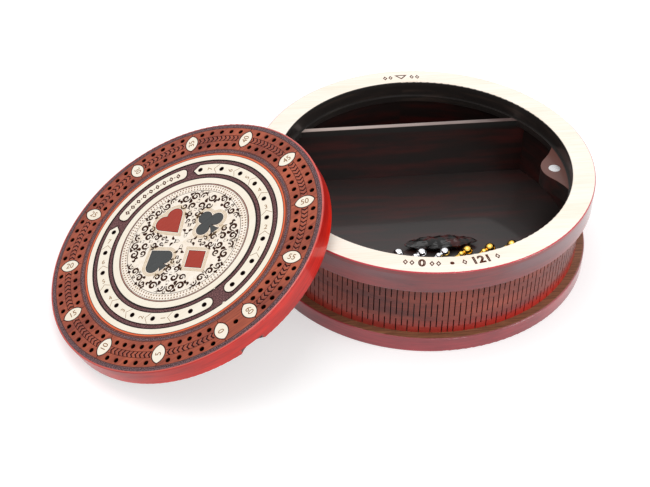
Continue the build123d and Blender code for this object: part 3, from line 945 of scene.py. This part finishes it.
filigree = frame["nodes"]["filigree_disc"]
filigree_finish = Finish("filigree_disc", Coat_Roughness=0.25, Coat_Weight=0.05)
filigree_place = filigree_finish.place(tuple(lid_top), lid_turn)
filigree_tone, filigree_fine = maple_wood(filigree_finish, filigree_place, 0)
smoke = filigree_finish.speckle(filigree_place, (1, 1, 1), 0.25)
filigree_tone = filigree_finish.blend(filigree_tone, colour(226, 208, 180), smoke.past(0.55, 0.15) * 0.4)
filigree_finish.give("Base Color", filigree_tone)
filigree_finish.give("Roughness", 0.5 + filigree_fine * 0.1)
filigree_finish.relief(filigree_fine + smoke, 0.03)
wear(filigree, filigree_finish)

scroll_brown = burnt("scroll_brown", colour(26, 12, 8), colour(84, 44, 24))


def scroll(x, y, size, start, sweep, weight=0.66, stations=15):
    """A tapered spiral stroke round a point, wound from its tail to its eye."""
    outer, inner = [], []
    for number in range(stations):
        share = number / (stations - 1)
        angle = math.radians(start + sweep * share)
        reach = 1.1 * size * (1 - 0.78 * share ** 0.85)
        half = size * weight / 2 * math.sin(math.pi * (0.06 + 0.86 * share)) * (1 - share / 2) + 0.1
        outer.append((x + (reach + half) * math.cos(angle), y + (reach + half) * math.sin(angle)))
        inner.append((x + (reach - half) * math.cos(angle), y + (reach - half) * math.sin(angle)))
    return outer + inner[::-1]


def leaf(x, y, length, width, heading, curl=0.25, stations=7):
    """A comma-shaped leaf, pointed at both ends."""
    turn = math.radians(heading)
    near, far = [], []
    for number in range(stations):
        share = number / (stations - 1)
        along = length * (share - 0.5)
        bow = length * curl * 4 * share * (1 - share)
        half = 0.62 * width * math.sin(math.pi * share) ** 0.8
        for side, row in ((half, far), (-half, near)):
            if 0 < number < stations - 1 or side > 0:
                u, v = along, bow + side
                across = x + u * math.cos(turn) - v * math.sin(turn)
                row.append((across, y + u * math.sin(turn) + v * math.cos(turn)))
    return far + near[::-1]


def both_sides(shapes):
    """Shapes and their mirror images across the radius."""
    return shapes + [[(-x, y) for x, y in reversed(shape)] for shape in shapes]


sprig = both_sides([
    scroll(3.5, 33.8, 2.9, 200, -480),
    scroll(9.8, 32.4, 2.8, 160, 460),
    scroll(3.2, 26.6, 2.7, 250, 460),
    scroll(9.0, 26.4, 2.2, 20, -440),
    scroll(2.6, 20.4, 2.1, 100, -440),
    scroll(1.8, 15.2, 1.5, 260, 420),
    leaf(6.6, 36.6, 4.4, 2.0, 160),
    leaf(6.6, 30.4, 4.2, 1.8, 100),
    leaf(6.2, 23.6, 3.8, 1.7, 50),
    leaf(6.3, 20.2, 3.2, 1.3, 75),
    leaf(13.0, 29.4, 3.6, 1.6, 60),
    leaf(4.6, 17.4, 3.2, 1.4, 60),
    leaf(0.9, 30.2, 3.8, 1.5, 100),
    leaf(0.8, 37.0, 2.4, 1.3, 90),
    leaf(0.7, 23.6, 3.0, 1.2, 80),
    leaf(0.6, 17.8, 2.4, 0.9, 85),
    leaf(1.1, 11.8, 3.2, 1.3, 80),
    leaf(3.2, 13.0, 2.6, 1.1, 40),
])
crown = both_sides([
    scroll(3.3, 34.4, 2.5, 160, 460),
    scroll(8.9, 34.6, 2.3, 200, -440),
    leaf(0.9, 37.2, 2.6, 1.2, 120),
    leaf(6.1, 37.0, 3.2, 1.5, 20),
    leaf(6.1, 32.2, 3.2, 1.5, 170),
    leaf(12.2, 35.6, 4.0, 1.7, 100),
    leaf(12.0, 31.6, 3.2, 1.4, 60),
    leaf(0.7, 32.0, 2.2, 1.0, 90),
])
sprigs = round_the_lid(flat_shape("filigree_sprigs", sprig, 2 * burn_proud), [45, 135, 225, 315])
lay_on_lid(sprigs, scroll_brown)
crowns = round_the_lid(flat_shape("filigree_crowns", crown, 2 * burn_proud), [0, 90, 180, 270])
lay_on_lid(crowns, scroll_brown)
rosette = both_sides([leaf(1.0, 4.2, 4.8, 1.5, 75), leaf(2.5, 7.4, 3.6, 1.4, 40)])
rosettes = round_the_lid(flat_shape("filigree_rosette", rosette, 2 * burn_proud), [45, 135, 225, 315])
lay_on_lid(rosettes, scroll_brown)

dash = [(-0.34, -0.5), (-0.34, 0.5), (0.34, 0.5), (0.34, -0.5)]
for name, dash_radius, count in (("outer_dashes", 41.6, 132), ("inner_dashes", 39.6, 120)):
    dash_angles = [360 / count * n for n in range(count)]
    ring = round_the_lid(flat_shape(name, [dash], 2 * burn_proud), dash_angles, dash_radius)
    lay_on_lid(ring, burnt(name, colour(112, 76, 48), colour(150, 110, 74)))
for name, line_radius in (("outer_rule", 42.9), ("inner_rule", 38.3)):
    circle = [clock_place(line_radius + 0.15, 3 * n) for n in range(120)]
    hole = [clock_place(line_radius - 0.15, 3 * n) for n in range(120)]
    lay_on_lid(flat_shape(name, [circle, hole], 2 * burn_proud), black_line)

# ---- Suits ----
# Four flat inlays, heart and diamond in red wood, club and spade in grey, each let into the
# maple disc with a dark joint line and three fine tan lines round it.

suit_tan = burnt("suit_tan", colour(184, 152, 108), colour(214, 190, 150))
suit_woods = {
    "red_suits": (colour(148, 42, 30), colour(176, 64, 48)),
    "grey_suits": (colour(50, 52, 52), colour(78, 80, 80)),
}
suit_finishes = {}
for name, (deep, bright) in suit_woods.items():
    finish = Finish(name, Coat_Roughness=0.2, Coat_Weight=0.05, Specular_IOR_Level=0.25)
    grain = finish.speckle(finish.place(tuple(lid_top), lid_turn), (0.1, 1, 1), 1.2)
    finish.give("Base Color", finish.blend(deep, bright, grain))
    finish.give("Roughness", 0.42 + grain * 0.15)
    finish.relief(grain, 0.03)
    suit_finishes[name] = finish
suit_wood_of = {"heart": "red_suits", "diamond": "red_suits", "club": "grey_suits", "spade": "grey_suits"}
for suit, wood in suit_wood_of.items():
    wear(frame["nodes"][suit + "_inlay"], suit_finishes[wood])
    lay_on_lid(line_round(suit + "_joint", suit + "_inlay", 0.1, 0.25), scroll_brown)
    for number, distance in enumerate((1.0, 1.7, 2.4)):
        line = line_round(f"{suit}_line_{number + 1}", suit + "_inlay", distance, 0.28)
        lay_on_lid(line, suit_tan)

# ---- Lid magnets ----
# Two more nickel-plated discs in the underside of the lid, which meet those of the lugs.

wear(frame["nodes"]["lid_magnets"], magnet_finish)

# ---- Pegs ----
# Six turned metal pegs, three plated silver and three gold, each with a ball head, a bead below
# it and a tapered stem. They lie on the floor of the well against the front wall.

for metal, bright, deep in (
    ("silver", colour(250, 250, 252), colour(214, 216, 222)),
    ("gold", colour(255, 214, 110), colour(226, 160, 40)),
):
    finish = Finish(metal + "_plate", Metallic=1.0)
    mist = finish.speckle(finish.place(), (1, 1, 1), 0.5)
    finish.give("Base Color", finish.blend(bright, deep, mist * 0.6))
    finish.give("Roughness", 0.08 + mist * 0.08)
    finish.relief(mist, 0.01)
    for number in (1, 2, 3):
        wear(frame["nodes"][f"{metal}_peg_{number}"], finish)

# ---- Peg pouch ----
# A small soft bag of black glossy cloth for the pegs, lying crumpled behind them. It swells in
# two humps and sags on the floor of the well.

pouch_low, pouch_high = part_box("peg_pouch")
pouch_middle = (pouch_low + pouch_high) / 2
pouch_size = pouch_high - pouch_low
bpy.ops.object.select_all(action="DESELECT")
bpy.ops.mesh.primitive_uv_sphere_add(segments=64, ring_count=32, radius=0.5, location=(0, 0, 0))
pouch = bpy.context.object
pouch.name = "soft_pouch"
bpy.ops.object.mode_set(mode="EDIT")
bpy.ops.mesh.select_all(action="SELECT")
bpy.ops.transform.rotate(value=math.pi / 2, orient_axis="Y", center_override=(0, 0, 0))
bpy.ops.transform.resize(value=tuple(pouch_size * 0.98))
bpy.ops.mesh.subdivide(number_cuts=1, smoothness=0)
bpy.ops.object.mode_set(mode="OBJECT")
pouch_humps = (-0.41, 0.27)
hump_reach = 0.24
fold_fineness = 170
crease_fineness = 420
crease_start = Vector((7, 3, 5))
flat_foot = 0.36
pouch_sag = 0.13
for vertex in pouch.data.vertices:
    spot = vertex.co.copy()
    along = spot.x / (pouch_size.x / 2)
    hump = 0.55 + 0.45 * sum(math.exp(-(((along - peak) / hump_reach) ** 2)) for peak in pouch_humps)
    fold = 1 - 2.6 * abs(noise.noise(spot * fold_fineness))
    crease = 1 - 3.2 * abs(noise.noise(spot * crease_fineness + crease_start))
    swell = 0.9 + 0.13 * fold + 0.06 * crease
    shaped = Vector((spot.x * (0.94 + 0.04 * fold), spot.y * swell, spot.z * hump * swell))
    shaped.z = max(shaped.z, -pouch_size.z * flat_foot)
    lowered = pouch_middle + shaped - Vector((0, 0, pouch_size.z * pouch_sag))
    vertex.co = [max(low, min(high, c)) for low, high, c in zip(pouch_low, pouch_high, lowered)]
choose(pouch)
bpy.ops.object.shade_smooth()
pouch_finish = Finish("black_satin", Coat_Roughness=0.1, Coat_Weight=0.3, Specular_IOR_Level=0.2)
pouch_place = pouch_finish.place()
weave = pouch_finish.speckle(pouch_place, (1, 1, 1), 4.0)
# Dull red patches on the black cloth are painted reflections of the red box around it.
red_reflection_patches = pouch_finish.speckle(pouch_place, (1, 1, 1), 0.16, 2.0).past(0.56, 0.08)
pouch_black = pouch_finish.blend(colour(6, 5, 5), colour(16, 12, 12), weave)
pouch_finish.give("Base Color", pouch_finish.blend(pouch_black, colour(84, 24, 20), red_reflection_patches * 0.6))
pouch_finish.give("Roughness", 0.24 + weave * 0.15)
pouch_finish.relief(weave, 0.05)
wear(pouch, pouch_finish)
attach(pouch, "pouch")
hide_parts("peg_pouch")
